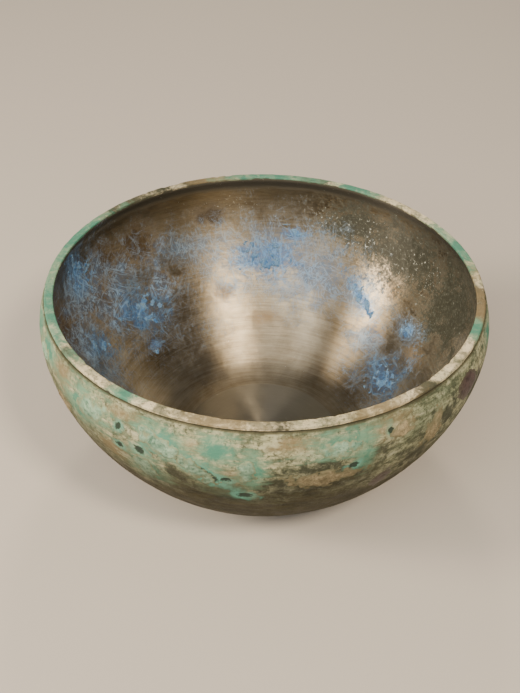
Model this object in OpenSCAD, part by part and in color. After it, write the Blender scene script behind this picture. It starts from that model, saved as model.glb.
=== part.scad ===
// Round-bellied bowl, beaten and turned from one disc of bronze, with the
// mineral crusts that a long burial left on it. The metal is one piece, and
// each crust is a separate body of stone that grew on its surface.
// The origin is the middle of the base, and +Z is up through the mouth.

/* [Bowl] */
// Widest diameter of the belly
belly_d = 180; // [170:1:220]
// Height from the base to the top of the lip
bowl_h = 86; // [82:1:100]
// Depth of the widest ring below the top of the lip
belly_drop = 14; // [12:0.5:17]
// Diameter of the flat that the bowl rests on
base_d = 72; // [60:1:76]
// Thickness of the wall at the belly
wall_t = 2.7; // [2.2:0.1:3.5]
// Thickness of the metal under the floor
floor_t = 4.6; // [3.6:0.1:5.6]
// Diameter of the flat floor inside
floor_d = 67; // [56:1:72]

/* [Lip] */
// How far the lip's inner edge stands in from the belly
mouth_inset = 6.7; // [6:0.1:8]
// Width of the lip, from its inner edge to its outer face
lip_w = 3.8; // [3.4:0.1:4]
// Radius of the raised bead under the lip
bead_r = 0.75; // [0.6:0.05:0.9]

/* [Crusts] */
// Thickness of the green crust on the outside
verdigris_t = 0.5; // [0.3:0.1:1]
// Thickness of the earthy crust on the outside
soil_t = 0.4; // [0.3:0.1:1]
// Thickness of the dark red-brown scabs on the outside
cuprite_t = 0.3; // [0.2:0.1:1]
// Thickness of the blue crust on the inside
azurite_t = 0.3; // [0.2:0.1:1]

/* [Hidden] */
$fn = 180;

belly_r = belly_d / 2;
belly_z = bowl_h - belly_drop;
mouth_r = belly_r - mouth_inset;
lip_r = mouth_r + lip_w;

// Below its widest ring the belly is (r/R)^power + (depth/D)^power = 1, and
// above it the shoulder is an arc of this radius. Power 2 would be an ellipse.
belly_power = 1.72;
outer_close = 1.1875 * belly_z;
inner_close = outer_close - 3.9;
shoulder_radius = 28;
wall_steps = 20;

// Where the wall has bent into the base outside and into the floor inside. The
// foot's curve aims this far above the base, so the flat ends in a definite edge.
foot_rise = 2.6;
foot_lift = 0.8;
floor_rise = 4.1;

// The lip: heights measured down from its top
bead_drop = 3.1;
groove_drop = 2;
groove_depth = 0.25;
line_drop = 1.2;
line_depth = 0.15;
outer_round = 0.8;
inner_round = 0.5;
lip_face = 1.7;
lip_undercut = 6;

// Patches are cut out of a skin of the wall by prisms that run outwards from
// this radius, past the widest ring
patch_start = 25;
patch_reach = belly_r - patch_start + 5;
outline_points = 28;

// Each patch: angle round the bowl, height of its middle, length round the
// wall, width up the wall, tilt of its length, and a seed for its outline
VERDIGRIS = [
    [202, 76, 15, 8, 0, 10],
    [226, 73, 19, 12, 10, 50],
    [246, 73, 17, 9, -25, 90],
    [255, 64, 20, 8, -38, 130],
    [267, 67, 8, 13, 0, 170],
    [288, 76, 21, 8, 5, 210],
    [241, 56, 10, 15, 15, 250],
    [20, 66, 22, 12, -10, 20],
    [58, 72, 26, 11, 0, 60],
    [96, 60, 20, 15, 20, 100],
    [131, 72, 24, 10, 0, 140],
    [164, 64, 18, 13, -15, 180]
];
SOIL = [
    [303, 75, 13, 8, 5, 30],
    [314, 67, 14, 16, -20, 70],
    [284, 61, 26, 13, 0, 110],
    [213, 62, 17, 11, 20, 150],
    [40, 54, 24, 12, 10, 190],
    [112, 76, 20, 7, 0, 230],
    [184, 60, 16, 14, 0, 270]
];
CUPRITE = [
    [329, 74, 22, 12, -5, 40],
    [301, 50, 9, 15, -10, 80],
    [76, 46, 20, 11, 0, 120],
    [149, 50, 16, 11, 15, 160]
];
AZURITE = [
    [90, 45, 24, 13, 0, 15],
    [81, 56, 8, 5, 0, 55],
    [53, 37, 22, 5, 35, 95],
    [23, 18, 20, 12, -10, 135],
    [29, 35, 5, 5, 0, 175],
    [140, 36, 20, 15, 30, 215],
    [142, 22, 6, 6, 0, 255],
    [159, 68, 18, 11, 60, 25],
    [164, 36, 14, 9, 45, 65],
    [205, 40, 20, 11, 10, 105],
    [262, 30, 22, 9, -15, 145],
    [312, 46, 18, 11, 0, 185]
];

// Radius of one face of the wall at height z
function curve_r(z, widest, close) =
    z < belly_z
    ? widest * pow(1 - pow((belly_z - z) / close, belly_power), 1 / belly_power)
    : widest - pow(z - belly_z, 2) / (2 * shoulder_radius);
function outer_r(z) = curve_r(z, belly_r, outer_close);
function inner_r(z) = curve_r(z, belly_r - wall_t, inner_close);

// Radius at which the tangent at height z, on one face, meets the height base_z
function tangent_r(z, widest, close, base_z) =
    let (gain = (curve_r(z + 0.1, widest, close) - curve_r(z - 0.1, widest, close)) / 0.2)
    curve_r(z, widest, close) - gain * (z - base_z);

// Points of a parabola from a to c that leaves and arrives along its corner b
function bend(a, b, c) =
    [for (t = [0:0.1:1]) a * pow(1 - t, 2) + 2 * b * t * (1 - t) + c * pow(t, 2)];

// Points of an arc about a centre, with angles counted from the outward direction
function arc(centre, r, from, to) =
    [for (t = [0:0.125:1]) let (a = from + (to - from) * t) centre + r * [cos(a), sin(a)]];

function heights(low, high) =
    [for (i = [0:wall_steps]) low + (high - low) * i / wall_steps];
function reversed(list) = [for (i = [len(list) - 1:-1:0]) list[i]];
function shifted(list, by) = [for (p = list) p + [by, 0]];

bead_z = bowl_h - bead_drop;
outer_wall = [for (z = heights(foot_rise, bead_z - 0.5)) [outer_r(z), z]];
inner_wall = [for (z = heights(floor_t + floor_rise, bowl_h - lip_undercut)) [inner_r(z), z]];

module metal_outline() {
    foot = bend(
        [base_d / 2, 0],
        [tangent_r(foot_rise, belly_r, outer_close, foot_lift), foot_lift],
        outer_wall[0]
    );
    bead = arc([outer_r(bead_z) + 0.15 - bead_r, bead_z], bead_r, -12, 80);
    groove = [
        [lip_r - groove_depth, bowl_h - groove_drop],
        [lip_r, bowl_h - groove_drop + 0.35]
    ];
    scored_line = [
        [lip_r, bowl_h - line_drop - 0.1],
        [lip_r - line_depth, bowl_h - line_drop],
        [lip_r, bowl_h - line_drop + 0.1]
    ];
    top_outside = arc([lip_r - outer_round, bowl_h - outer_round], outer_round, 0, 90);
    top_inside = arc([mouth_r + inner_round, bowl_h - inner_round], inner_round, 90, 180);
    lip_foot = [[mouth_r, bowl_h - lip_face]];
    floor_edge = bend(
        inner_wall[0],
        [tangent_r(floor_t + floor_rise, belly_r - wall_t, inner_close, floor_t), floor_t],
        [floor_d / 2, floor_t]
    );
    polygon(concat(
        [[0, 0]], foot, outer_wall, bead, groove, scored_line, top_outside,
        top_inside, lip_foot, reversed(inner_wall), floor_edge, [[0, floor_t]]
    ));
}

// A thin skin on one face of the wall; a negative thickness grows inwards
module skin(wall, t) {
    rotate_extrude()
        polygon(concat(wall, reversed(shifted(wall, t))));
}

// Outline of a patch: an ellipse whose edge wanders in and out
function patch_outline(length, width, seed) =
    [for (i = [0:outline_points - 1])
        let (
            a = 360 * i / outline_points,
            k = 1 + 0.16 * sin(3 * a + seed) + 0.09 * sin(7 * a + 2 * seed)
        )
        [length / 2 * k * cos(a), width / 2 * k * sin(a)]];

module patch(p) {
    rotate([0, 0, p[0]])
        translate([patch_start, 0, p[1]])
            rotate([90, 0, 90])
                rotate([0, 0, p[4]])
                    linear_extrude(patch_reach)
                        polygon(patch_outline(p[2], p[3], p[5]));
}

module patches(list) {
    for (p = list)
        patch(p);
}

module bowl() {
    color("#8a7d66")
        rotate_extrude()
            metal_outline();
}

module verdigris_crust() {
    color("#7fb5a0")
        intersection() {
            skin(outer_wall, verdigris_t);
            patches(VERDIGRIS);
        }
}

module soil_crust() {
    color("#a3977a")
        intersection() {
            skin(outer_wall, soil_t);
            patches(SOIL);
        }
}

module cuprite_scabs() {
    color("#4b3a38")
        intersection() {
            skin(outer_wall, cuprite_t);
            patches(CUPRITE);
        }
}

module azurite_crust() {
    color("#3f74b8")
        intersection() {
            skin(inner_wall, -azurite_t);
            patches(AZURITE);
        }
}

bowl();
verdigris_crust();
soil_crust();
cuprite_scabs();
azurite_crust();
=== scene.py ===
# %% [markdown]
# # A bronze bowl out of the ground
#
# This bowl was beaten from one thick disc of bronze, turned on a lathe, used, lost in
# the ground for centuries and dug up again. Burial gave it a stone skin: a pale
# grey-green patina outside, with crusts of green malachite, hardened soil and dark
# cuprite, and a bloom of blue azurite on the worn bronze inside.
#
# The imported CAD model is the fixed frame. It says where the metal is. Every cell below
# makes one finer piece around it, in metres, in the same place.

# %% Load the frame
import math

import bpy
import numpy as np
from mathutils import Matrix, Vector


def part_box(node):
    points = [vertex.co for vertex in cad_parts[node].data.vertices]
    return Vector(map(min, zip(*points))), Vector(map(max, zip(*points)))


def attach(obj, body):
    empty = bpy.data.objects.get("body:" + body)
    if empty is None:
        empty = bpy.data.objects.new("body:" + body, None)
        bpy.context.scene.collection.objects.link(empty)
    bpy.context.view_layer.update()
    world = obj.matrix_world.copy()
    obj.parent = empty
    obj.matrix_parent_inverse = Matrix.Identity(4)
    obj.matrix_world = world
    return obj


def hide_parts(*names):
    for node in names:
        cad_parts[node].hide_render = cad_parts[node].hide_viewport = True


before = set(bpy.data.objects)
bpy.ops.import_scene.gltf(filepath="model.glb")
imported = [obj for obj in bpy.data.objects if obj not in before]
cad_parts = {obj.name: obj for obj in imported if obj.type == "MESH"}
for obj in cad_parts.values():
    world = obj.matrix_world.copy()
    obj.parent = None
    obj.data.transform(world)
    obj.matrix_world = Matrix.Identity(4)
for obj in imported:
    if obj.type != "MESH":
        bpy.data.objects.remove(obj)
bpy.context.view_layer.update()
MM = 0.001

# %% [markdown]
# ## The camera
#
# The bowl stands on a table and is looked down on from about arm's length with a long
# lens, so the mouth shows as an open ellipse and the far rim is only a little smaller
# than the near one. The camera's distance and height are multiples of the mouth's
# radius, because the shape of an ellipse fixes only such ratios.

# %% Set the camera
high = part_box("bowl")[1]
BELLY_R = high.x / MM
BOWL_H = high.z / MM
MOUTH_R = BELLY_R - 6.7

camera_data = bpy.data.cameras.new("camera")
camera_data.lens = 57.14
camera_data.sensor_width = 36.0
camera = bpy.data.objects.new("camera", camera_data)
bpy.context.collection.objects.link(camera)
bpy.context.scene.camera = camera
camera_back = 4.337 * MOUTH_R * MM
camera_high = (2.98 * MOUTH_R + BOWL_H) * MM
camera.matrix_world = (
    Matrix.Translation((0.0, -camera_back, camera_high))
    @ Matrix.Rotation(math.radians(0.25), 4, "Z")
    @ Matrix.Rotation(math.radians(90.0 - 37.92), 4, "X")
    @ Matrix.Rotation(math.radians(0.88), 4, "Z")
)
print("camera", round(camera_back, 3), "m in front,", round(camera_high, 3), "m up")

# %% [markdown]
# ## The section of the bowl
#
# A turned bowl is one outline carried round an axis, so everything hangs on that
# outline. Below its widest ring the wall follows a superellipse,
# (r/R)^n + (depth/D)^n = 1, which with n = 1.72 is flatter than an ellipse low down.
# Above it the shoulder is an arc. The lip, the groove and the bead are short arcs and
# straight lines, with heights counted down from the top of the lip. These are the same
# curves as in the frame, so the fine pieces lie on the CAD solid.

# %% The curves of the wall
BELLY_Z = BOWL_H - 14.0
WALL_T = 2.7
FLOOR_T = 4.6
FLOOR_R = 33.5
BASE_R = 36.0
POWER = 1.72
OUTER_CLOSE = 1.1875 * BELLY_Z
INNER_CLOSE = OUTER_CLOSE - 3.9
SHOULDER_R = 28.0
LIP_R = MOUTH_R + 3.8
BEAD_R = 0.75
BEAD_Z = BOWL_H - 3.1


def curve_r(z, widest, close):
    """Radius of a wall face at height z: widest * (1 - (depth/close)^n)^(1/n) below the
    widest ring, widest - rise^2 / (2 * shoulder radius) above it."""
    depth = np.clip((BELLY_Z - z) / close, 0.0, 1.0)
    below = widest * (1.0 - depth**POWER) ** (1.0 / POWER)
    above = widest - (z - BELLY_Z) ** 2 / (2.0 * SHOULDER_R)
    return np.where(z < BELLY_Z, below, above)


def tangent_r(z, widest, close, level):
    """Radius where the wall's tangent at height z meets a level plane."""
    gain = (curve_r(z + 0.1, widest, close) - curve_r(z - 0.1, widest, close)) / 0.2
    return float(curve_r(z, widest, close) - gain * (z - level))


def bend(a, b, c, count=24):
    """Parabola from a to c, leaving and arriving along its corner b."""
    t = np.linspace(0.0, 1.0, count)[:, None]
    return np.array(a) * (1 - t) ** 2 + 2 * np.array(b) * t * (1 - t) + np.array(c) * t**2


def arc(r, z, radius, start, end, count=16):
    """Arc about (r, z), with angles in degrees counted from the outward direction."""
    t = np.radians(np.linspace(start, end, count))
    return np.stack([r + radius * np.cos(t), z + radius * np.sin(t)], 1)


def wall_face(widest, close, z_from, z_to):
    """The wall's curve between two heights."""
    z = np.linspace(z_from, z_to, 200)
    return np.stack([curve_r(z, widest, close), z], 1)


print("belly", BELLY_R, "mm, height", BOWL_H, "mm")

# %% [markdown]
# ## Walking along the outline
#
# Each face of the bowl becomes a *line*: distance walked along it, radius, height and
# the direction that points out of the metal. A point of any piece is then three
# numbers: how far along the line, how far round, and how far it is lifted off the face.

# %% Make the three lines
def line_of(points, side):
    """A line resampled every 0.1 mm. side is +1 where the metal lies to the left of
    the way walked, and -1 where it lies to the right."""
    step = np.hypot(*np.diff(points, axis=0).T)
    points = points[np.concatenate([[True], step > 1e-6])]
    walked = np.concatenate([[0.0], np.cumsum(np.hypot(*np.diff(points, axis=0).T))])
    s = np.linspace(0.0, walked[-1], int(walked[-1] / 0.1) + 1)
    r = np.interp(s, walked, points[:, 0])
    z = np.interp(s, walked, points[:, 1])
    dr, dz = np.gradient(r, s), np.gradient(z, s)
    size = np.hypot(dr, dz)
    return {"s": s, "r": r, "z": z, "nr": side * dz / size, "nz": -side * dr / size}


def place(line, s, turn, lift):
    """Points in metres, lifted off the line's face: (r + lift*nr) at the angle turn."""
    r = np.interp(s, line["s"], line["r"]) + lift * np.interp(s, line["s"], line["nr"])
    z = np.interp(s, line["s"], line["z"]) + lift * np.interp(s, line["s"], line["nz"])
    r, z, turn = np.broadcast_arrays(r, z, turn)
    return np.stack([r * np.cos(turn), r * np.sin(turn), z], -1) * MM


def walked_to(line, z):
    """How far along a line its wall reaches the height z."""
    rising = line["s"] > 30.0
    return np.interp(z, line["z"][rising], line["s"][rising])


FOOT_Z = 2.6
FOOT_LIFT = 0.8
foot_corner = tangent_r(FOOT_Z, BELLY_R, OUTER_CLOSE, FOOT_LIFT)
bead_crest = float(curve_r(np.array(BEAD_Z), BELLY_R, OUTER_CLOSE)) + 0.15
groove = [[LIP_R - 0.25, BOWL_H - 2.0]]
outside = line_of(np.concatenate([
    [[0.0, 0.0]],
    bend([BASE_R, 0.0], [foot_corner, FOOT_LIFT], wall_face(BELLY_R, OUTER_CLOSE, FOOT_Z, 80)[0]),
    wall_face(BELLY_R, OUTER_CLOSE, FOOT_Z, BEAD_Z - 0.5),
    arc(bead_crest - BEAD_R, BEAD_Z, BEAD_R, -12.0, 80.0),
    groove,
]), 1)

INNER_R = BELLY_R - WALL_T
EDGE_Z = FLOOR_T + 4.1
floor_corner = tangent_r(EDGE_Z, INNER_R, INNER_CLOSE, FLOOR_T)
inside = line_of(np.concatenate([
    [[0.0, FLOOR_T]],
    bend([FLOOR_R, FLOOR_T], [floor_corner, FLOOR_T],
         wall_face(INNER_R, INNER_CLOSE, EDGE_Z, 80)[0]),
    wall_face(INNER_R, INNER_CLOSE, EDGE_Z, BOWL_H - 6.0),
    [[MOUTH_R, BOWL_H - 1.7], [MOUTH_R, BOWL_H - 0.9]],
]), -1)

lip = line_of(np.concatenate([
    groove,
    [[LIP_R, BOWL_H - 1.65], [LIP_R, BOWL_H - 1.3], [LIP_R - 0.15, BOWL_H - 1.2]],
    [[LIP_R, BOWL_H - 1.1]],
    arc(LIP_R - 0.8, BOWL_H - 0.8, 0.8, 0.0, 90.0),
    arc(MOUTH_R + 0.5, BOWL_H - 0.5, 0.5, 90.0, 180.0),
    [[MOUTH_R, BOWL_H - 1.7]],
]), 1)
for name, line in (("outside", outside), ("inside", inside), ("lip", lip)):
    print(name, "line", round(float(line["s"][-1]), 1), "mm long")

# %% [markdown]
# ## Noise, patches and grids
#
# Corrosion never repeats, so its shapes come from noise: random numbers on a lattice,
# smoothly blended. `grain` adds finer and finer copies of it. A *patch* is an ellipse
# laid on the wall at an angle and a height. Its value is 1 in the middle and 0 at its
# edge, and noise added to that value makes a ragged coast.

# %% Noise and patches
def lattice_noise(p, seed):
    """Value noise from -1 to 1: a hash of each lattice corner, blended by 3f^2 - 2f^3."""
    base = np.floor(p).astype(np.int64)
    f = p - base
    w = f * f * (3.0 - 2.0 * f)
    total = np.zeros(p.shape[:-1])
    for corner in range(8):
        bits = np.array([corner & 1, corner >> 1 & 1, corner >> 2 & 1])
        c = base + bits
        h = c[..., 0] * 374761393 + c[..., 1] * 668265263 + c[..., 2] * 2147483647
        h = (h + seed * 1274126177) & 0xFFFFFFFF
        h = ((h ^ (h >> 13)) * 1103515245) & 0xFFFFFFFF
        h = ((h ^ (h >> 16)) * 668265263) & 0xFFFFFFFF
        share = np.prod(np.where(bits, w, 1.0 - w), axis=-1)
        total += share * ((h ^ (h >> 15)) & 0xFFFFFF) / float(0xFFFFFF)
    return total * 2.0 - 1.0


def grain(p, size, seed, octaves=3):
    """Noise whose largest grains are size mm across, with finer ones at half strength."""
    return sum(lattice_noise(p / size * 2**k, seed + 17 * k) / 2**k for k in range(octaves))


def step(x, start, end):
    """0 below start, 1 above end, and 3t^2 - 2t^3 between them."""
    t = np.clip((x - start) / (end - start), 0.0, 1.0)
    return t * t * (3.0 - 2.0 * t)


def patches(line, s, turn, patch_list):
    """The largest of 1 - d over all patches, where d is 1 on the edge of an ellipse of
    (angle, height, length, width, tilt), unrolled flat on the wall."""
    value = np.full(np.broadcast(s, turn).shape, -9.0)
    r = np.interp(s, line["s"], line["r"])
    for angle, height, length, width, tilt in patch_list:
        off = (turn - math.radians(angle) + math.pi) % (2 * math.pi) - math.pi
        x = off * r
        y = s - walked_to(line, height)
        c, k = math.cos(math.radians(tilt)), math.sin(math.radians(tilt))
        d = np.hypot((x * c + y * k) / (length / 2), (y * c - x * k) / (width / 2))
        value = np.maximum(value, 1.0 - d)
    return value


# %% Meshes from grids of points
def put_mesh(name, points, corners, sizes):
    """An object whose faces are runs of sizes corners, all smooth."""
    mesh = bpy.data.meshes.new(name)
    mesh.vertices.add(len(points))
    mesh.vertices.foreach_set("co", points.astype(np.float32).ravel())
    mesh.loops.add(len(corners))
    mesh.loops.foreach_set("vertex_index", corners.astype(np.int32))
    mesh.polygons.add(len(sizes))
    starts = np.concatenate([[0], np.cumsum(sizes)[:-1]])
    mesh.polygons.foreach_set("loop_start", starts.astype(np.int32))
    mesh.polygons.foreach_set("use_smooth", np.ones(len(sizes), bool))
    mesh.update(calc_edges=True)
    mesh.validate()
    piece = bpy.data.objects.new(name, mesh)
    bpy.context.collection.objects.link(piece)
    return piece


def turned_solid(name, points, poles):
    """A closed solid from rows of points round the axis. With poles the first and the
    last row shrink to one point each, otherwise the last row joins the first."""
    rows, cols = points.shape[:2]
    ids = np.arange(rows * cols).reshape(rows, cols)
    ahead = np.roll(ids, -1, 1)
    if poles:
        a, b, c, d = (x[1:-2] if k < 2 else x[2:-1]
                      for k, x in enumerate((ids, ahead, ahead, ids)))
        fans = [np.stack([np.full(cols, ids[0, 0]), ahead[1], ids[1]], 1),
                np.stack([np.full(cols, ids[-1, 0]), ids[-2], ahead[-2]], 1)]
    else:
        a, b, c, d = ids, ahead, np.roll(ahead, -1, 0), np.roll(ids, -1, 0)
        fans = []
    quads = np.stack([a, b, c, d], -1).reshape(-1, 4)
    used, corners = np.unique(
        np.concatenate([quads.ravel()] + [f.ravel() for f in fans]), return_inverse=True
    )
    sizes = np.concatenate([np.full(len(quads), 4)] + [np.full(len(f), 3) for f in fans])
    return put_mesh(name, points.reshape(-1, 3)[used], corners, sizes), used


def tidy_cells(keep):
    """Fills cells until no two kept cells touch only at a corner, so that the solid has
    no edge shared by four faces."""
    for _ in range(40):
        east = np.roll(keep, -1, 1)[:-1]
        here, north, north_east = keep[:-1], keep[1:], np.roll(keep, -1, 1)[1:]
        crossed = (here & north_east & ~east & ~north) | (east & north & ~here & ~north_east)
        if not crossed.any():
            break
        keep = keep.copy()
        keep[:-1] |= crossed
        keep[1:] |= crossed
    return keep


def crust_solid(name, front, back, keep):
    """A closed solid over the kept cells: their front quads, their back quads, and a
    side wall wherever the next cell isn't kept."""
    rows, cols = front.shape[:2]
    top = np.arange(rows * cols).reshape(rows, cols)
    under = top + rows * cols
    top_e, under_e = np.roll(top, -1, 1), np.roll(under, -1, 1)
    a, b, c, d = top[:-1], top_e[:-1], top_e[1:], top[1:]
    e, f, g, h = under[:-1], under_e[:-1], under_e[1:], under[1:]
    south = keep & ~np.pad(keep, ((1, 0), (0, 0)))[:-1]
    north = keep & ~np.pad(keep, ((0, 1), (0, 0)))[1:]
    west = keep & ~np.roll(keep, 1, 1)
    east = keep & ~np.roll(keep, -1, 1)
    faces = [
        np.stack(q, -1)[where]
        for q, where in (
            ((a, b, c, d), keep), ((e, h, g, f), keep), ((a, e, f, b), south),
            ((c, g, h, d), north), ((a, d, h, e), west), ((b, f, g, c), east),
        )
    ]
    quads = np.concatenate(faces)
    used, corners = np.unique(quads.ravel(), return_inverse=True)
    both = np.concatenate([front.reshape(-1, 3), back.reshape(-1, 3)])
    return put_mesh(name, both[used], corners, np.full(len(quads), 4)), used


def keep_values(piece, name, values):
    """Stores one number or one vector per vertex, for the materials to read."""
    vector = values.ndim == 2
    made = piece.data.attributes.new(name, "FLOAT_VECTOR" if vector else "FLOAT", "POINT")
    made.data.foreach_set("vector" if vector else "value", values.astype(np.float32).ravel())


def triangles(piece):
    """How many triangles a piece has."""
    return sum(len(p.vertices) - 2 for p in piece.data.polygons)


# %% [markdown]
# ## Where the crusts and stains are
#
# The frame has the crusts as plates, and these are their places again: angle round the
# bowl, height of the middle, length, width and tilt, in degrees and millimetres. The
# other lists are stains, which have a colour but no thickness. Angle 270 is the front.

# %% Lay out the outside
VERDIGRIS = [
    (202, 76, 15, 8, 0), (226, 73, 19, 12, 10), (246, 73, 17, 9, -25), (255, 64, 20, 8, -38),
    (267, 67, 8, 13, 0), (288, 76, 21, 8, 5), (241, 56, 10, 15, 15), (20, 66, 22, 12, -10),
    (58, 72, 26, 11, 0), (96, 60, 20, 15, 20), (131, 72, 24, 10, 0), (164, 64, 18, 13, -15),
]
SOIL = [
    (303, 75, 13, 8, 5), (314, 67, 14, 16, -20), (284, 61, 26, 13, 0), (213, 62, 17, 11, 20),
    (40, 54, 24, 12, 10), (112, 76, 20, 7, 0), (184, 60, 16, 14, 0),
]
CUPRITE = [
    (329, 74, 22, 12, -5), (301, 50, 9, 15, -10), (76, 46, 20, 11, 0), (149, 50, 16, 11, 15),
]
PITS = [
    (246.5, 73, 8, 4.2, -28), (252, 67.5, 6, 3, -50), (257, 63.5, 11, 4.2, -38),
    (241, 66.5, 4, 3.4, -20), (235, 64, 3.2, 2.4, 0), (235.5, 74, 3.4, 2, 60),
    (266, 52, 5, 3.4, 0), (262, 62, 4, 2, -20), (300, 77, 2, 3.4, 0), (291, 66, 4, 2.4, 30),
    (60, 68, 7, 3.4, 20), (98, 58, 8, 3.6, -30), (133, 70, 5, 3, 10), (22, 62, 6, 3, -20),
    (168, 66, 5, 3, 30),
]
MINT = [
    (192, 80, 22, 12, 0), (205, 79, 18, 10, 0), (224, 73, 26, 17, 10), (248, 74, 22, 14, -25),
    (260, 76, 14, 14, 0), (256, 66, 26, 12, -38), (268, 67, 10, 18, 0), (288, 77, 26, 11, 5),
    (294, 69, 7, 16, 0), (242, 56, 15, 20, 15), (262, 50, 22, 7, -15), (347, 79, 18, 9, 0),
    (20, 66, 34, 20, -10), (58, 73, 40, 16, 0), (96, 62, 30, 24, 20), (131, 73, 36, 15, 0),
    (164, 66, 26, 20, -15), (176, 80, 22, 8, 0), (80, 78, 20, 8, 0),
]
TAN = [
    (214, 77, 22, 14, 0), (301, 78, 20, 12, 0), (277, 79, 22, 8, 0), (263, 63, 16, 12, 20),
    (254, 76, 10, 8, 0), (236, 80, 16, 7, 0), (232, 60, 20, 12, 20), (40, 74, 30, 10, 0),
    (112, 70, 26, 16, 0), (150, 76, 24, 10, 0), (5, 76, 20, 12, 0), (75, 62, 20, 14, 0),
]
DARK = [
    (284, 60, 46, 24, 0), (298, 70, 18, 10, 30), (312, 58, 26, 22, 0), (262, 58, 18, 7, -30),
    (250, 60, 16, 8, -30), (334, 64, 26, 26, 0), (318, 70, 18, 14, 0), (35, 54, 50, 24, 0),
    (110, 56, 40, 22, 0), (178, 56, 40, 20, 0),
]

# %% [markdown]
# ## The outer patina
#
# In the ground the outside of the bowl turned to stone: a skin a few tenths of a
# millimetre thick that follows the metal, swells and sinks with it, and has broken out
# in pits. It is modelled as a real closed skin and not as a colour, so its pits and
# swellings catch the light at the edge of the bowl too.

# %% Shape of the outer patina
def outside_lift(points, s, turn):
    """Millimetres off the CAD face, never above it: a slow swell from beating, streaks
    left by turning, small pocks, and the big pits."""
    p = points / MM
    swell = 0.07 * grain(p, 34.0, 1, 2)
    streaks = 0.05 * grain(p * [0.22, 0.22, 1.0], 2.6, 2, 2)
    lumps = 0.05 * grain(p, 5.0, 3, 3)
    pocks = -0.16 * step(grain(p, 3.2, 4, 2), 0.45, 0.9)
    pits = -0.5 * step(patches(outside, s, turn, PITS) + 0.25 * grain(p, 2.0, 5, 2), 0.0, 0.35)
    return np.clip(-0.16 + swell + streaks + lumps + pocks + pits, -0.75, 0.0)


def spread(length, count, spots=(), width=1.2, extra=8.0):
    """count distances from 0 to length, closer together around each of the spots."""
    s = np.linspace(0.0, length, 4000)
    crowd = np.ones_like(s)
    for spot in spots:
        crowd += extra * np.exp(-(((s - spot) / width) ** 2))
    total = np.concatenate([[0.0], np.cumsum((crowd[1:] + crowd[:-1]) / 2)])
    return np.interp(np.linspace(0.0, total[-1], count), total, s)


def around(count):
    """count equal turns, in radians, as one row."""
    return np.linspace(0.0, 2.0 * math.pi, count, endpoint=False)[None, :]


PATINA_BACK = -0.9
end = float(outside["s"][-1])
turn = around(720)
s_front = spread(end, 108, [end - 1.2], 1.0, 5.0)[:, None]
s_back = spread(end, 30)[::-1][:, None]
face = place(outside, s_front, turn, 0.0)
lift = outside_lift(face, s_front, turn)
front = place(outside, s_front, turn, lift)
back = place(outside, s_back, turn, PATINA_BACK)
wall_patina, used = turned_solid("wall_patina", np.concatenate([front, back]), True)
print("wall_patina", triangles(wall_patina), "triangles, lift", lift.min(), lift.max())


def zone_values(line, s, turn, used, zones):
    """One stain value per used vertex for each list of patches."""
    for name, patch_list in zones.items():
        yield name, patches(line, s, turn, patch_list).ravel()[used]


s_all = np.concatenate([s_front, s_back]) + 0.0 * turn
turn_all = turn + 0.0 * s_all
outside_zones = {"mint": MINT, "tan": TAN, "dark": DARK, "pit": PITS}
for name, values in zone_values(outside, s_all, turn_all, used, outside_zones):
    keep_values(wall_patina, name, values)

# %% [markdown]
# ## The lip
#
# The lip was left thick and turned last, with a scored line near its top and a groove
# under it. It is what the eye follows round the bowl, so it gets a ring of its own with
# points every half millimetre. Knocks and burial have left its edges wavy.

# %% Make the lip
def lip_lift(points):
    """Millimetres off the CAD face: wear, lumps of carbonate and small chips."""
    p = points / MM
    wear = 0.07 * grain(p, 16.0, 21, 2)
    lumps = 0.07 * grain(p, 2.4, 22, 3)
    chips = -0.3 * step(grain(p, 4.5, 23, 2), 0.55, 0.95)
    return np.clip(-0.13 + wear + lumps + chips, -0.5, 0.0)


turn = around(1050)
s_front = np.linspace(0.0, float(lip["s"][-1]), 44)[:, None]
s_back = np.array([[0.95], [0.8], [0.55], [0.3], [0.1]]) * float(lip["s"][-1])
face = place(lip, s_front, turn, 0.0)
lift = lip_lift(face)
sunk = 0.5 * step(s_front / lip["s"][-1], 0.93, 1.0)
front = place(lip, s_front, turn, lift - sunk)
back = place(lip, s_back, turn, PATINA_BACK)
lip_patina, used = turned_solid("lip_patina", np.concatenate([front, back]), False)
print("lip_patina", triangles(lip_patina), "triangles")

# %% Lay out the stains of the lip
# The lip has no pits, but its patina is the wall's and reads the stain, so it is kept
LIP_STAINS = {
    "mint": [(194, 22), (160, 20), (90, 14), (340, 4), (20, 14), (62, 8), (236, 4)],
    "tan": [(262, 12), (300, 10), (348, 16), (8, 10), (104, 12)],
    "dark": [(350, 14), (136, 22), (112, 10), (76, 8), (274, 2), (214, 3), (312, 4)],
    "pit": [],
}


def stretches(turn, arcs):
    """The largest of 1 - |turn - middle| / half over stretches (middle, half) in degrees."""
    value = np.full(turn.shape, -9.0)
    for middle, half in arcs:
        off = (np.degrees(turn) - middle + 180.0) % 360.0 - 180.0
        value = np.maximum(value, 1.0 - np.abs(off) / half)
    return value


turn_all = turn + 0.0 * np.concatenate([s_front, s_back])
for name, arcs in LIP_STAINS.items():
    keep_values(lip_patina, name, stretches(turn_all, arcs).ravel()[used])

# %% [markdown]
# ## The metal
#
# Under the patina is the bowl itself, and inside it still shows as metal. Its outline
# runs from the middle of the underside, up behind the patina and the lip, and down the
# inner wall to the middle of the floor. The floor was finished with a turning tool,
# which left a ring at its edge and a fainter one outside it.

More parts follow.
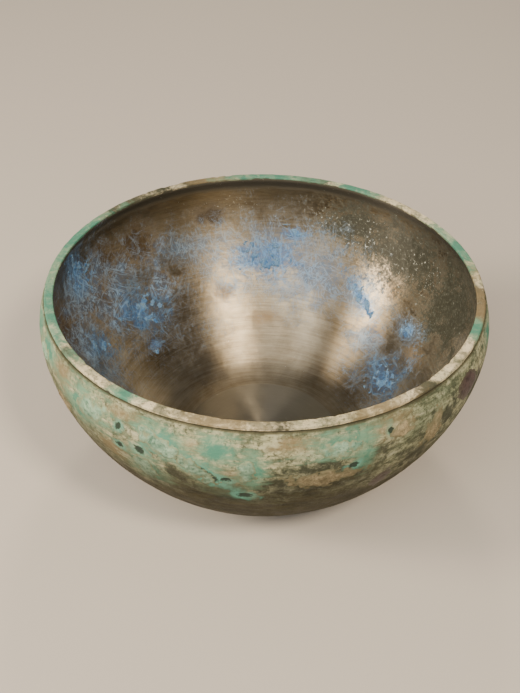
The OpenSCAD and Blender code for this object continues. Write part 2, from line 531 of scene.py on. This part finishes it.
# %% Make the metal
RINGS = [(FLOOR_R, 0.1), (39.6, 0.04), (16.0, 0.02), (25.5, 0.02)]
AZURITE = [
    (90, 45, 24, 13, 0), (81, 56, 8, 5, 0), (53, 37, 22, 5, 35), (23, 18, 20, 12, -10),
    (29, 35, 5, 5, 0), (140, 36, 20, 15, 30), (142, 22, 6, 6, 0), (159, 68, 18, 11, 60),
    (164, 36, 14, 9, 45), (205, 40, 20, 11, 10), (262, 30, 22, 9, -15), (312, 46, 18, 11, 0),
]
BLUE = [
    (90, 46, 54, 26, 0), (72, 40, 34, 24, 0), (55, 38, 26, 16, 30), (118, 52, 30, 16, 0),
    (142, 40, 44, 34, 30), (160, 62, 30, 30, 60), (24, 18, 30, 22, 0), (42, 24, 18, 10, 0),
    (170, 36, 26, 40, 30), (29, 35, 14, 10, 0), (205, 40, 30, 18, 0), (262, 32, 34, 16, 0),
    (312, 46, 36, 22, 0), (235, 60, 30, 16, 0),
]
OLIVE = [
    (152, 48, 34, 34, 0), (160, 56, 30, 40, 0), (134, 60, 32, 26, 0), (128, 42, 20, 14, 0),
    (173, 50, 30, 40, 0), (146, 64, 30, 20, 0), (108, 66, 22, 12, 0), (220, 56, 34, 20, 0),
    (290, 60, 30, 18, 0), (196, 66, 20, 16, 0),
]
ROUGH = [
    (40, 62, 64, 34, 0), (16, 58, 50, 50, 0), (62, 66, 40, 22, 0), (350, 56, 40, 44, 0),
    (325, 66, 40, 22, 0), (245, 72, 50, 12, 0),
]
SPARKLE = [(72, 66, 30, 12, 0), (58, 62, 30, 22, -20), (36, 58, 40, 30, -25), (100, 70, 30, 10, 0)]
WARM = [
    (42, 46, 14, 14, 0), (20, 32, 22, 16, 0), (90, 22, 20, 8, 0), (106, 32, 12, 12, 0),
    (40, 26, 16, 14, 0), (280, 20, 26, 12, 0),
]


def inside_lift(points, s, turn):
    """Millimetres off the CAD face: the swell of beating, rings left by the tool, and
    the pocks of the rough part of the wall."""
    p = points / MM
    swell = 0.08 * grain(p, 26.0, 31, 2)
    rings = sum(
        -depth * np.exp(-(((s - ring) / 0.35) ** 2)) for ring, depth in RINGS
    )
    rough = step(patches(inside, s, turn, ROUGH) + 0.3 * grain(p, 9.0, 32, 2), -0.1, 0.4)
    pocks = -0.2 * rough * step(grain(p, 2.6, 33, 2), 0.15, 0.8)
    return np.clip(-0.1 + swell + rings + pocks, -0.6, 0.0)


# Millimetres off the CAD face: under the skins' fronts and above their backs, so that
# no slit shows between metal and skin
METAL_OUT = -0.8
METAL_LIP = -0.6
turn = around(600)
end = float(inside["s"][-1])
s_in = spread(end, 122, [ring for ring, depth in RINGS] + [end - 3.0], 0.8, 4.0)[::-1][:, None]
lift = inside_lift(place(inside, s_in, turn, 0.0), s_in, turn)
inner = place(inside, s_in, turn, lift)
s_lip = np.linspace(0.0, float(lip["s"][-1]) - 1.6, 14)[:, None]
s_out = spread(float(outside["s"][-1]), 30)[:-1][:, None]
outer = place(outside, s_out, turn, METAL_OUT)
top = place(lip, s_lip, turn, METAL_LIP)
bowl_metal, used = turned_solid("bowl_metal", np.concatenate([outer, top, inner]), True)
print("bowl_metal", triangles(bowl_metal), "triangles")

s_all = np.concatenate([0.0 * s_out + end, 0.0 * s_lip + end, s_in]) + 0.0 * turn
turn_all = turn + 0.0 * s_all
inside_zones = {
    "blue": BLUE, "olive": OLIVE, "rough": ROUGH, "warm": WARM, "azurite": AZURITE,
    "sparkle": SPARKLE,
}
for name, values in zone_values(inside, s_all, turn_all, used, inside_zones):
    keep_values(bowl_metal, name, values)
unrolled = np.stack([s_all * np.cos(turn_all), s_all * np.sin(turn_all), 0.0 * s_all], -1)
keep_values(bowl_metal, "unrolled", unrolled.reshape(-1, 3)[used] * MM)

# %% [markdown]
# ## The crusts
#
# A crust is thickest in its middle and dies away at a ragged edge. Each one is a closed
# solid on a fine grid. Its thickness is a patch plus noise, and the grid cells where
# that is far below zero are left out. The edge of the mesh lies inside the patina, so
# what shows as the crust's coast is the line where its surface sinks into the skin.

# %% Grow the crusts
CELL = 0.5


def crust(name, line, patch_list, low_z, high_z, thickness, broken, rough, seed, base, way):
    """Crust solids on one face of the wall. The height is
    min(1, 2.2 * patch + noise) * thickness, over the base face's own lift, and broken
    is the strength of the fine noise that splits it up. way is +1 outside and -1
    inside, where the rows run down so that faces point off the metal."""
    s = np.arange(walked_to(line, low_z), walked_to(line, high_z), CELL)[::way, None]
    widest = float(np.interp(s, line["s"], line["r"]).max())
    turn = around(int(2 * math.pi * widest / CELL))
    face = place(line, s, turn, 0.0)
    p = face / MM
    skin = base(face, s, turn)
    coast = 0.75 * grain(p, 7.0, seed, 3) + broken * grain(p, 2.0, seed + 5, 2)
    near = patches(line, s, turn, patch_list)
    full = np.minimum(1.0, 2.2 * near + coast - 0.4 * broken)
    lumps = rough * grain(p, 2.2, seed + 9, 3) * np.clip(full, 0.0, 1.0)
    height = np.clip((full * 0.8 + lumps) * thickness, -0.3, thickness)
    cells = (height > -0.12) & (full > -0.4)
    keep = (cells[:-1] & cells[1:]) & np.roll(cells[:-1] & cells[1:], -1, 1)
    keep = tidy_cells(keep)
    front = place(line, s, turn, np.minimum(skin + height, thickness))
    back = place(line, s, turn, skin - 0.35)
    piece, used = crust_solid(name, front, back, keep)
    share = np.concatenate([full.ravel(), full.ravel()])[used]
    keep_values(piece, "full", share)
    print(name, triangles(piece), "triangles")
    return piece


verdigris = crust("verdigris_relief", outside, VERDIGRIS, 40, 81.5, 0.5, 0.8, 0.5, 41, outside_lift, 1)
soil = crust("soil_relief", outside, SOIL, 40, 81.5, 0.4, 0.7, 0.9, 61, outside_lift, 1)
scabs = crust("cuprite_relief", outside, CUPRITE, 36, 81.5, 0.3, 0.3, 0.15, 81, outside_lift, 1)
azurite = crust("azurite_relief", inside, AZURITE, 9, 78, 0.3, 3.4, 0.8, 101, inside_lift, -1)

# %% [markdown]
# ## Colours and nodes
#
# Colours are written as sRGB hex, as a paint chart gives them, and turned to linear
# light once. One small function adds any node with its settings and its links.

# %% Helpers for materials
def paint(code):
    """Linear RGBA from an sRGB hex such as #7fb9a2."""
    value = np.array([int(code[k:k + 2], 16) for k in (1, 3, 5)]) / 255.0
    linear = np.where(value <= 0.04045, value / 12.92, ((value + 0.055) / 1.055) ** 2.4)
    return (*map(float, linear), 1.0)


def add(tree, kind, settings, inputs, out=0):
    """Adds a node, sets or links its inputs, and returns one of its outputs."""
    node = tree.nodes.new(kind)
    for key, value in settings.items():
        setattr(node, key, value)
    for key, value in inputs.items():
        if isinstance(value, bpy.types.NodeSocket):
            tree.links.new(value, node.inputs[key])
        else:
            node.inputs[key].default_value = value
    return node.outputs[out]


def new_material(name, settings):
    """A material with one Principled shader, whose plain numbers are set on it."""
    material = bpy.data.materials.new(name)
    material.use_nodes = True
    tree = material.node_tree
    tree.nodes.clear()
    shader = tree.nodes.new("ShaderNodeBsdfPrincipled")
    for key, value in settings.items():
        shader.inputs[key].default_value = value
    output = tree.nodes.new("ShaderNodeOutputMaterial")
    tree.links.new(shader.outputs[0], output.inputs[0])
    return material, tree, shader


def per(size):
    """The noise scale that gives grains of size mm, as coordinates are in metres."""
    return 1.0 / (size * MM)


MIX = {"data_type": "RGBA"}
# Noise that stays between 0 and 1 around 0.5, so one set of edges fits every size
EVEN = {"normalize": True}


# %% [markdown]
# ## Patina
#
# Bronze buried in damp soil grows tin oxide and copper carbonates: pale grey-green to
# cream, with mint stains where malachite comes through, tan where soil was bound in, dark
# grey-green where the skin is thin. It is a stone, so it isn't metallic, its gloss is
# low, and its grain is drawn from about 1 to 20 mm. Turning left it faintly streaked
# round the bowl, so one noise is squeezed along the axis. Shade is painted in as well: a
# streaked dark brown towards the bottom of the wall, and a dark line in the groove under
# the lip.

# %% Make the patina
def patina(name, pale, cream, mottled):
    """Patina over the stains stored on the piece. mottled is how strong its own mottling is."""
    material, tree, shader = new_material(name, {"Specular IOR Level": 0.2})
    where = add(tree, "ShaderNodeTexCoord", {}, {}, "Object")
    squeezed = add(tree, "ShaderNodeMapping", {}, {"Vector": where, "Scale": (1, 1, 4)})
    big = add(tree, "ShaderNodeTexNoise", EVEN, {
        "Vector": where, "Scale": per(22), "Detail": 8, "Roughness": 0.65, "Distortion": 0.5})
    mid = add(tree, "ShaderNodeTexNoise", EVEN, {
        "Vector": where, "Scale": per(6), "Detail": 9, "Roughness": 0.72, "Distortion": 0.4})
    fine = add(tree, "ShaderNodeTexNoise", EVEN, {
        "Vector": where, "Scale": per(1.6), "Detail": 6, "Roughness": 0.75})
    streak = add(tree, "ShaderNodeTexNoise", EVEN, {
        "Vector": squeezed, "Scale": per(10), "Detail": 9, "Roughness": 0.72})
    colour = add(tree, "ShaderNodeMix", MIX, {
        0: add(tree, "ShaderNodeMapRange", {}, {0: big, 1: 0.4, 2: 0.6}),
        6: paint(pale), 7: paint(cream)}, 2)
    for grainy, start, end, most, tint in (
        (mid, 0.46, 0.58, 0.85, "#64725b"), (streak, 0.49, 0.6, 0.85, "#454e3c"),
        (streak, 0.47, 0.34, 0.7, "#cacbae"), (fine, 0.5, 0.62, 0.85, "#454a39"),
        (fine, 0.44, 0.33, 0.4, "#c3c7ad"),
    ):
        mask = add(tree, "ShaderNodeMapRange", {}, {0: grainy, 1: start, 2: end,
                                                    3: 0.0, 4: most * mottled})
        colour = add(tree, "ShaderNodeMix", MIX, {0: mask, 6: colour, 7: paint(tint)}, 2)
    for zone, tint, low_edge, high_edge, most, grainy in (
        ("dark", "#3a3f33", -0.3, 0.6, 0.88, mid), ("tan", "#8f7f5f", -0.1, 0.8, 0.75, mid),
        ("mint", "#79a68c", -0.4, 0.6, 0.85, streak), ("mint", "#4b8c79", 0.25, 0.95, 0.85, mid),
    ):
        stain = add(tree, "ShaderNodeAttribute", {"attribute_name": zone}, {}, 2)
        ragged = add(tree, "ShaderNodeMath", {"operation": "MULTIPLY_ADD"}, {
            0: grainy, 1: 4.5, 2: add(tree, "ShaderNodeMath", {"operation": "SUBTRACT"}, {
                0: stain, 1: 2.25})})
        mask = add(tree, "ShaderNodeMapRange", {}, {
            0: ragged, 1: low_edge, 2: high_edge, 3: 0.0, 4: most})
        colour = add(tree, "ShaderNodeMix", MIX, {0: mask, 6: colour, 7: paint(tint)}, 2)
    # Painted shade: the patina is painted a streaked dark brown towards the bottom of the wall.
    height = add(tree, "ShaderNodeSeparateXYZ", {}, {0: where}, 2)
    low = add(tree, "ShaderNodeMath", {"operation": "MULTIPLY_ADD"}, {
        0: big, 1: 0.05, 2: height})
    low_patina_shade = add(tree, "ShaderNodeMapRange", {}, {0: low, 1: 0.1, 2: 0.068, 3: 0.0, 4: 0.94})
    colour = add(tree, "ShaderNodeMix", MIX, {0: low_patina_shade, 6: colour, 7: add(
        tree, "ShaderNodeMix", MIX, {
            0: add(tree, "ShaderNodeMapRange", {}, {0: streak, 1: 0.4, 2: 0.62}),
            6: paint("#1f1a0f"), 7: paint("#454029")}, 2)}, 2)
    # Painted shade: a dark line painted along the groove under the lip.
    level = add(tree, "ShaderNodeMath", {"operation": "SUBTRACT"}, {0: height, 1: 0.0839})
    off_level = add(tree, "ShaderNodeMath", {"operation": "ABSOLUTE"}, {0: level})
    groove_shade = add(tree, "ShaderNodeMapRange", {}, {
        0: off_level, 1: 0.0003, 2: 0.0007, 3: 0.85, 4: 0.0})
    colour = add(tree, "ShaderNodeMix", MIX, {0: groove_shade, 6: colour, 7: paint("#4b4836")}, 2)
    pit = add(tree, "ShaderNodeAttribute", {"attribute_name": "pit"}, {}, 2)
    pitted = add(tree, "ShaderNodeMath", {"operation": "MULTIPLY_ADD"}, {
        0: fine, 1: 2.4, 2: add(tree, "ShaderNodeMath", {"operation": "SUBTRACT"}, {
            0: pit, 1: 1.2})})
    halo = add(tree, "ShaderNodeMath", {"operation": "MULTIPLY_ADD"}, {
        0: mid, 1: 7.0, 2: add(tree, "ShaderNodeMath", {"operation": "SUBTRACT"}, {
            0: pit, 1: 3.5})})
    rim = add(tree, "ShaderNodeMapRange", {}, {0: halo, 1: -1.6, 2: 0.2, 3: 0.0, 4: 0.75})
    colour = add(tree, "ShaderNodeMix", MIX, {0: rim, 6: colour, 7: paint("#69ab98")}, 2)
    hole = add(tree, "ShaderNodeMapRange", {}, {0: pitted, 1: -0.3, 2: 0.0, 3: 0.0, 4: 0.95})
    colour = add(tree, "ShaderNodeMix", MIX, {0: hole, 6: colour, 7: paint("#303a32")}, 2)
    tree.links.new(colour, shader.inputs["Base Color"])
    tree.links.new(add(tree, "ShaderNodeMapRange", {}, {
        0: mid, 1: 0.3, 2: 0.7, 3: 0.55, 4: 0.85}), shader.inputs["Roughness"])
    ground = add(tree, "ShaderNodeMath", {"operation": "MULTIPLY_ADD"}, {
        0: fine, 1: 0.6, 2: streak})
    tree.links.new(add(tree, "ShaderNodeBump", {}, {
        "Strength": 0.8, "Distance": 0.6 * MM, "Height": ground}), shader.inputs["Normal"])
    return material


wall_patina.data.materials.append(patina("patina_on_bronze", "#8e987a", "#b9b995", 1.0))
lip_patina.data.materials.append(patina("patina_on_worn_lip", "#d9cfaa", "#f6eac8", 0.75))

# %% [markdown]
# ## Worn bronze
#
# High-tin bronze is a yellow-grey metal. Turned on a lathe it keeps fine rings, which
# stretch every highlight across themselves into a beam towards the middle. That is what
# anisotropy does, with its tangent laid round the bowl and turned by a quarter. Over it
# lie films of tarnish, olive and brown stains and a haze of blue azurite, which aren't
# metallic. Shade is painted in too: the upper wall darker towards the rim, and the band
# under the lip dark and not metallic. Pale dots are painted in as glints.

# %% Make the worn bronze
def strokes(tree, place_at, size, stretch, thin):
    """Thin strokes lying four ways over the metal. Each is where a noise, stretched
    along the stroke, passes its middle value: 1 - |noise - 0.5| * thin."""
    total = 0.0
    for lying, far in ((0.35, 0.0), (1.25, 0.31), (2.0, 0.57), (2.75, 0.83)):
        turned = add(tree, "ShaderNodeMapping", {"vector_type": "TEXTURE"}, {
            "Vector": place_at, "Location": (far, far, 0.0), "Rotation": (0.0, 0.0, lying),
            "Scale": (stretch, 1.0, 1.0)})
        noise = add(tree, "ShaderNodeTexNoise", EVEN, {
            "Vector": turned, "Scale": per(size), "Detail": 4, "Roughness": 0.62,
            "Distortion": 0.7})
        middle = add(tree, "ShaderNodeMath", {"operation": "SUBTRACT"}, {0: noise, 1: 0.5})
        away = add(tree, "ShaderNodeMath", {"operation": "ABSOLUTE"}, {0: middle})
        line = add(tree, "ShaderNodeMapRange", {}, {0: away, 1: 0.0, 2: 1.0 / thin,
                                                    3: 1.0, 4: 0.0})
        total = add(tree, "ShaderNodeMath", {"operation": "MAXIMUM"}, {0: total, 1: line})
    return total


def worn_bronze():
    """Bare metal mixed with its films, and with the painted shade under the lip, by one metallic mask.
    """
    material, tree, shader = new_material("turned_high_tin_bronze", {
        "Anisotropic": 0.88, "Anisotropic Rotation": 0.25})
    where = add(tree, "ShaderNodeTexCoord", {}, {}, "Object")
    flat = add(tree, "ShaderNodeAttribute", {"attribute_name": "unrolled"}, {}, 1)
    tree.links.new(add(tree, "ShaderNodeTangent", {
        "direction_type": "RADIAL", "axis": "Z"}, {}), shader.inputs["Tangent"])
    walked = add(tree, "ShaderNodeVectorMath", {"operation": "LENGTH"}, {0: flat}, 1)
    thin = add(tree, "ShaderNodeVectorMath", {"operation": "SCALE"}, {0: where, "Scale": 0.05})
    rings = add(tree, "ShaderNodeVectorMath", {"operation": "ADD"}, {
        0: thin, 1: add(tree, "ShaderNodeCombineXYZ", {}, {2: walked})})
    lathe = add(tree, "ShaderNodeTexNoise", EVEN, {
        "Vector": rings, "Scale": per(1.2), "Detail": 5, "Roughness": 0.75})
    big = add(tree, "ShaderNodeTexNoise", EVEN, {
        "Vector": where, "Scale": per(26), "Detail": 7, "Roughness": 0.62, "Distortion": 0.4})
    mid = add(tree, "ShaderNodeTexNoise", EVEN, {
        "Vector": where, "Scale": per(8), "Detail": 9, "Roughness": 0.7, "Distortion": 0.3})
    fine = add(tree, "ShaderNodeTexNoise", EVEN, {
        "Vector": where, "Scale": per(1.3), "Detail": 6, "Roughness": 0.75})
    long_strokes = strokes(tree, flat, 5.0, 3.2, 30.0)
    hairs = strokes(tree, flat, 8.0, 4.5, 62.0)
    tone = add(tree, "ShaderNodeMath", {"operation": "MULTIPLY_ADD"}, {
        0: lathe, 1: 0.5, 2: add(tree, "ShaderNodeMath", {"operation": "MULTIPLY"}, {
            0: big, 1: 0.75})})
    colour = add(tree, "ShaderNodeMix", MIX, {
        0: add(tree, "ShaderNodeMapRange", {}, {0: tone, 1: 0.45, 2: 0.8}),
        6: paint("#84775f"), 7: paint("#c2b8a2")}, 2)
    disc = add(tree, "ShaderNodeMapRange", {}, {
        0: walked, 1: 34.2 * MM, 2: 33.2 * MM, 3: 0.0, 4: 0.8})
    colour = add(tree, "ShaderNodeMix", MIX, {0: disc, 6: colour, 7: paint("#b3ad9c")}, 2)
    height = add(tree, "ShaderNodeSeparateXYZ", {}, {0: where}, 2)
    wavy = add(tree, "ShaderNodeMath", {"operation": "MULTIPLY_ADD"}, {
        0: big, 1: 0.008, 2: height})
    # Painted shade: the inner wall is painted darker from about 56 mm up to the rim.
    upper_shade = add(tree, "ShaderNodeMapRange", {}, {0: wavy, 1: 0.056, 2: 0.08, 3: 0.0, 4: 0.62})
    colour = add(tree, "ShaderNodeMix", MIX, {0: upper_shade, 6: colour, 7: paint("#37342a")}, 2)
    # Painted shade: the band just under the lip is painted dark and, through the metallic mask, made
    # dull, with no reflection.
    neck_shade = add(tree, "ShaderNodeMapRange", {}, {0: wavy, 1: 0.0815, 2: 0.0845, 3: 0.0, 4: 0.9})
    colour = add(tree, "ShaderNodeMix", MIX, {0: neck_shade, 6: colour, 7: paint("#3a382d")}, 2)
    film_and_shade = neck_shade
    speckled = add(tree, "ShaderNodeMath", {"operation": "MULTIPLY_ADD"}, {
        0: fine, 1: 0.45, 2: add(tree, "ShaderNodeMath", {"operation": "MULTIPLY"}, {
            0: mid, 1: 0.55})})
    for zone, tint, low_edge, high_edge, most, grainy, gain in (
        ("warm", "#b39468", 0.0, 1.0, 0.5, mid, 3.0),
        ("olive", "#3c2d14", -0.2, 0.6, 0.88, mid, 3.2),
        ("rough", "#32352b", -0.3, 0.4, 0.94, speckled, 6.0),
    ):
        stain = add(tree, "ShaderNodeAttribute", {"attribute_name": zone}, {}, 2)
        ragged = add(tree, "ShaderNodeMath", {"operation": "MULTIPLY_ADD"}, {
            0: grainy, 1: gain, 2: add(tree, "ShaderNodeMath", {"operation": "SUBTRACT"}, {
                0: stain, 1: gain / 2})})
        mask = add(tree, "ShaderNodeMapRange", {}, {
            0: ragged, 1: low_edge, 2: high_edge, 3: 0.0, 4: most})
        colour = add(tree, "ShaderNodeMix", MIX, {0: mask, 6: colour, 7: paint(tint)}, 2)
        film_and_shade = add(tree, "ShaderNodeMath", {"operation": "MAXIMUM"}, {0: film_and_shade, 1: mask})
    pale = add(tree, "ShaderNodeMapRange", {}, {0: fine, 1: 0.5, 2: 0.64, 3: 0.0, 4: 0.6})
    pale = add(tree, "ShaderNodeMath", {"operation": "MULTIPLY"}, {0: pale, 1: mask})
    colour = add(tree, "ShaderNodeMix", MIX, {0: pale, 6: colour, 7: paint("#73776a")}, 2)
    for zone, tint, mark, haze, low_edge, cover in (
        ("blue", "#64809f", long_strokes, 0.62, -0.5, 0.35),
        ("blue", "#a3bfd9", hairs, 0.0, -1.2, 0.6),
        ("azurite", "#4a80c0", long_strokes, 0.5, -0.5, 0.65),
        ("azurite", "#7fb2e2", hairs, 0.0, -1.1, 0.75),
    ):
        stain = add(tree, "ShaderNodeAttribute", {"attribute_name": zone}, {}, 2)
        ragged = add(tree, "ShaderNodeMath", {"operation": "MULTIPLY_ADD"}, {
            0: speckled, 1: 7.0, 2: add(tree, "ShaderNodeMath", {"operation": "SUBTRACT"}, {
                0: stain, 1: 3.5})})
        area = add(tree, "ShaderNodeMapRange", {}, {0: ragged, 1: low_edge, 2: 0.9})
        share = add(tree, "ShaderNodeMath", {"operation": "MULTIPLY_ADD"}, {
            0: mark, 1: 0.7 * (1.0 - haze), 2: haze})
        mask = add(tree, "ShaderNodeMath", {"operation": "MULTIPLY"}, {0: area, 1: share})
        colour = add(tree, "ShaderNodeMix", MIX, {0: mask, 6: colour, 7: paint(tint)}, 2)
        dull = add(tree, "ShaderNodeMath", {"operation": "MULTIPLY"}, {0: mask, 1: cover})
        film_and_shade = add(tree, "ShaderNodeMath", {"operation": "MAXIMUM"}, {0: film_and_shade, 1: dull})
    # Painted glints: pale dots in the base colour, more of them in the sparkle patches.
    spark = add(tree, "ShaderNodeAttribute", {"attribute_name": "sparkle"}, {}, 2)
    near = add(tree, "ShaderNodeMapRange", {}, {0: spark, 1: -0.1, 2: 0.5, 3: 0.0, 4: 0.05})
    bright = add(tree, "ShaderNodeMath", {"operation": "ADD"}, {0: fine, 1: near})
    glint_dots = add(tree, "ShaderNodeMapRange", {}, {0: bright, 1: 0.665, 2: 0.69, 3: 0.0, 4: 0.9})
    colour = add(tree, "ShaderNodeMix", MIX, {0: glint_dots, 6: colour, 7: paint("#e2e6de")}, 2)
    tree.links.new(colour, shader.inputs["Base Color"])
    tree.links.new(add(tree, "ShaderNodeMapRange", {}, {0: film_and_shade, 1: 0.0, 2: 0.8, 3: 1.0, 4: 0.0}),
                   shader.inputs["Metallic"])
    tree.links.new(add(tree, "ShaderNodeMath", {"operation": "MULTIPLY_ADD"}, {
        0: film_and_shade, 1: 0.2, 2: add(tree, "ShaderNodeMapRange", {}, {
            0: mid, 1: 0.3, 2: 0.7, 3: 0.3, 4: 0.44})}), shader.inputs["Roughness"])
    ground = add(tree, "ShaderNodeMath", {"operation": "MULTIPLY_ADD"}, {
        0: fine, 1: 0.6, 2: lathe})
    tree.links.new(add(tree, "ShaderNodeBump", {}, {
        "Strength": 0.5, "Distance": 0.15 * MM, "Height": ground}), shader.inputs["Normal"])
    return material


bowl_metal.data.materials.append(worn_bronze())


# %% [markdown]
# ## The minerals
#
# Malachite is a green copper carbonate, azurite a blue one, and cuprite a dark red
# copper oxide. Burial soil is sand and clay bound by the same salts. The carbonates
# and the soil are matt and grainy; cuprite is smooth and a little waxy.

# %% Make the minerals
def mineral(name, shades, size, rough, relief, specular, under, crust_shade_below):
    """A stone of three shades, mixed by noise with grains of size mm and a finer one.
    Where the crust is thin, the colour under shows through, and the last argument is how far
    the lower wall's painted shade, a dark brown, covers it."""
    material, tree, shader = new_material(name, {"Specular IOR Level": specular})
    where = add(tree, "ShaderNodeTexCoord", {}, {}, "Object")
    coarse = add(tree, "ShaderNodeTexNoise", EVEN, {
        "Vector": where, "Scale": per(size), "Detail": 7, "Roughness": 0.66, "Distortion": 0.5})
    fine = add(tree, "ShaderNodeTexNoise", EVEN, {
        "Vector": where, "Scale": per(size / 4), "Detail": 5, "Roughness": 0.7})
    colour = add(tree, "ShaderNodeMix", MIX, {
        0: add(tree, "ShaderNodeMapRange", {}, {0: coarse, 1: 0.36, 2: 0.58}),
        6: paint(shades[0]), 7: paint(shades[1])}, 2)
    colour = add(tree, "ShaderNodeMix", MIX, {
        0: add(tree, "ShaderNodeMapRange", {}, {0: fine, 1: 0.5, 2: 0.66, 3: 0.0, 4: 0.8}),
        6: colour, 7: paint(shades[2])}, 2)
    thickness = add(tree, "ShaderNodeAttribute", {"attribute_name": "full"}, {}, 2)
    through = add(tree, "ShaderNodeMath", {"operation": "MULTIPLY_ADD"}, {
        0: fine, 1: 1.6, 2: add(tree, "ShaderNodeMath", {"operation": "SUBTRACT"}, {
            0: thickness, 1: 0.8})})
    colour = add(tree, "ShaderNodeMix", MIX, {
        0: add(tree, "ShaderNodeMapRange", {}, {0: through, 1: 0.0, 2: 0.8}),
        6: paint(under), 7: colour}, 2)
    # Painted shade: the crust is painted a dark brown towards the bottom of the wall.
    height = add(tree, "ShaderNodeSeparateXYZ", {}, {0: where}, 2)
    low = add(tree, "ShaderNodeMath", {"operation": "MULTIPLY_ADD"}, {
        0: coarse, 1: 0.03, 2: height})
    brown = add(tree, "ShaderNodeMapRange", {}, {0: low, 1: 0.092, 2: 0.064, 3: 0.0, 4: crust_shade_below})
    colour = add(tree, "ShaderNodeMix", MIX, {0: brown, 6: colour, 7: paint("#3a3523")}, 2)
    tree.links.new(colour, shader.inputs["Base Color"])
    tree.links.new(add(tree, "ShaderNodeMapRange", {}, {
        0: fine, 1: 0.3, 2: 0.7, 3: rough - 0.1, 4: rough + 0.1}), shader.inputs["Roughness"])
    tree.links.new(add(tree, "ShaderNodeBump", {}, {
        "Strength": relief, "Distance": 0.4 * MM, "Height": fine}), shader.inputs["Normal"])
    return material


verdigris.data.materials.append(mineral(
    "malachite_crust", ("#6c9a86", "#9fbfa6", "#48705f"), 5.0, 0.75, 0.7, 0.2, "#8e987a", 0.8))
soil.data.materials.append(mineral(
    "hardened_burial_soil", ("#8f8568", "#b3a685", "#5d5a48"), 3.0, 0.85, 1.0, 0.2, "#7e7d62", 0.8))
scabs.data.materials.append(mineral(
    "cuprite_scab", ("#33262a", "#4a3838", "#241f20"), 8.0, 0.5, 0.25, 0.3, "#4c473a", 0.5))
azurite.data.materials.append(mineral(
    "azurite_bloom", ("#4b80bb", "#7ea5c8", "#345f94"), 2.6, 0.8, 0.9, 0.3, "#7c93a3", 0.0))

# %% Join the pieces to the frame
for piece, node, slot in (
    (bowl_metal, "bowl", "bronze"), (wall_patina, "bowl", "bronze"),
    (lip_patina, "bowl", "bronze"), (verdigris, "verdigris_crust", "verdigris"),
    (soil, "soil_crust", "soil"), (scabs, "cuprite_scabs", "cuprite"),
    (azurite, "azurite_crust", "azurite"),
):
    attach(piece, "root")
    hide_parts(node)

# %% [markdown]
# ## Table and light
#
# A plain pale table and soft light. A metal wall shows a lamp where its normal halves
# the angle between lamp and eye, so the lamp for the beam on the far wall stands in
# front and above, and the one for the beam on the right wall stands low on the left.
# A weak one behind draws the streak on the floor, and a broad panel in front shows the
# patina.

# %% Set the table and the lamps
bpy.ops.mesh.primitive_plane_add(size=6.0, location=(0.0, 0.0, 0.0))
table = bpy.context.object
table.name = "table"
table_material, tree, shader = new_material("pale_table", {"Roughness": 0.8})
shader.inputs["Base Color"].default_value = paint("#cfcac2")
table.data.materials.append(table_material)

world = bpy.data.worlds.new("room")
bpy.context.scene.world = world
world.use_nodes = True
world.node_tree.nodes["Background"].inputs[0].default_value = paint("#8c8c90")
world.node_tree.nodes["Background"].inputs[1].default_value = 0.48


def lamp(name, place_at, wide, high, power, colour):
    """A rectangular lamp that faces the bowl."""
    data = bpy.data.lights.new(name, "AREA")
    data.shape = "RECTANGLE"
    data.size = wide
    data.size_y = high
    data.energy = power
    data.color = paint(colour)[:3]
    holder = bpy.data.objects.new(name, data)
    bpy.context.collection.objects.link(holder)
    spot = Vector(place_at)
    holder.location = spot
    holder.rotation_euler = (Vector((0, 0, 0.04)) - spot).to_track_quat("-Z", "Y").to_euler()


lamp("left_beam", (0.34, -0.62, 0.86), 0.18, 0.18, 8.5, "#ffe9cc")
lamp("right_beam", (-0.94, -0.24, 0.54), 0.26, 0.34, 11.0, "#ffe9cc")
lamp("floor_streak", (0.01, 0.83, 0.77), 0.16, 0.1, 3.0, "#ffe9cc")
lamp("front_panel", (-0.4, -0.95, 1.0), 1.1, 0.9, 13.0, "#fff6ea")
